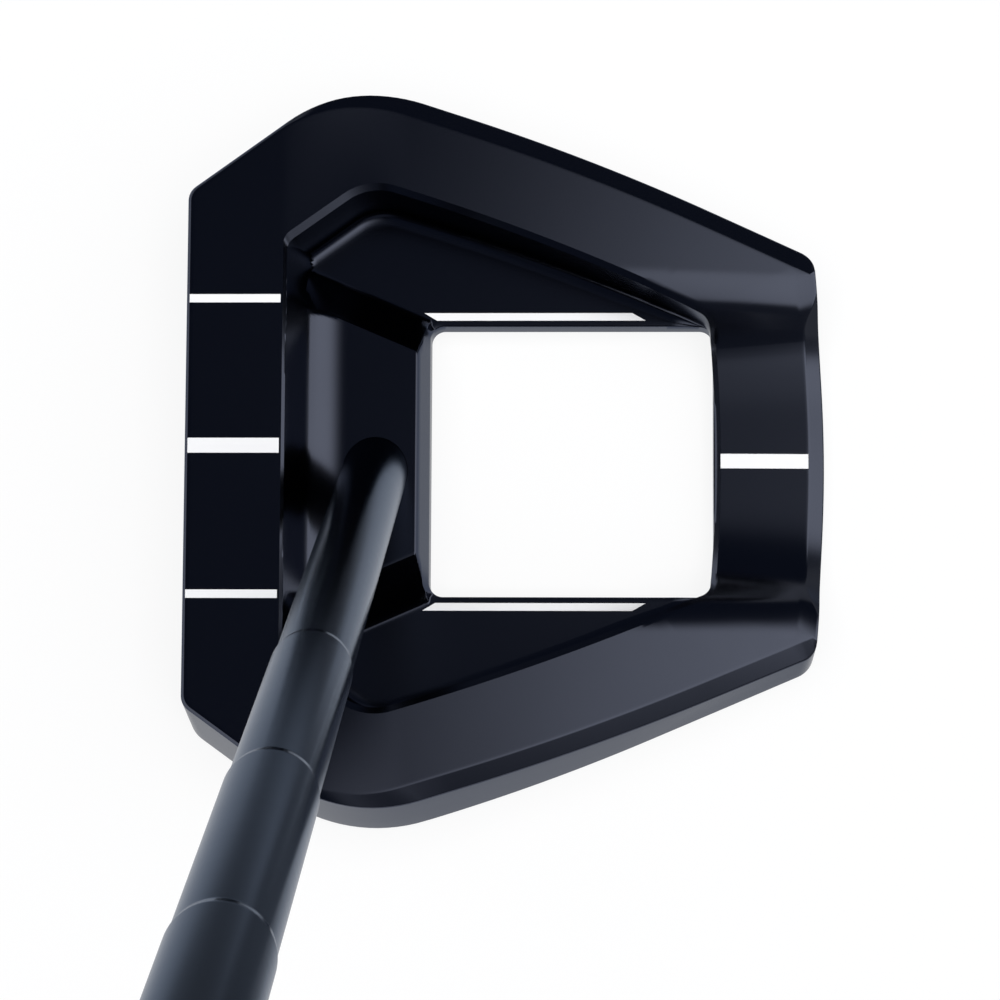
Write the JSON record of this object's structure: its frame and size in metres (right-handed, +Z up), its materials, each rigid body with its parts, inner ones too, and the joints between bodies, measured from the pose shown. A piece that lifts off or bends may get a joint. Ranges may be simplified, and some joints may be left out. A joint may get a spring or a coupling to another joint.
{
  "type": "mallet putter",
  "caption": "Square-window mallet putter: milled ring head with a raised shaft boss, white sight lines, face insert, sole weights, stepped steel shaft and flat-front rubber grip",
  "frame": {"origin": "on the sole, directly below the point where the shaft's axis crosses the head's middle plane", "axes": "+Z up from the sole, +X from the face to the rear of the head, +Y towards the toe; the shaft leans to -Y"},
  "size_m": [0.0935, 0.3689, 0.8081],
  "materials": {
    "anodised_head": "satin black anodised",
    "milled_insert": "fine milled",
    "white_paint": "filled paint",
    "weight_steel": "turned",
    "dark_steel": "satin dark coating",
    "black_plastic": "moulded",
    "tape": "paper tape",
    "grip_rubber": "moulded matt"
  },
  "bodies": {
    "root": {"head_body": "anodised_head", "face_insert": "milled_insert", "sightline_face_toe": "white_paint", "sightline_face_centre": "white_paint", "sightline_face_heel": "white_paint", "sightline_rear": "white_paint", "sightline_window_toe": "white_paint", "sightline_window_heel": "white_paint", "weight_toe_1": "weight_steel", "weight_toe_2": "weight_steel", "weight_toe_3": "weight_steel", "weight_toe_4": "weight_steel", "weight_heel_1": "weight_steel", "weight_heel_2": "weight_steel", "weight_heel_3": "weight_steel", "weight_heel_4": "weight_steel", "shaft": "dark_steel", "shaft_tip_plug": "black_plastic", "grip_tape": "tape", "grip": "grip_rubber", "grip_cap": "black_plastic"}
  },
  "joints": []
}
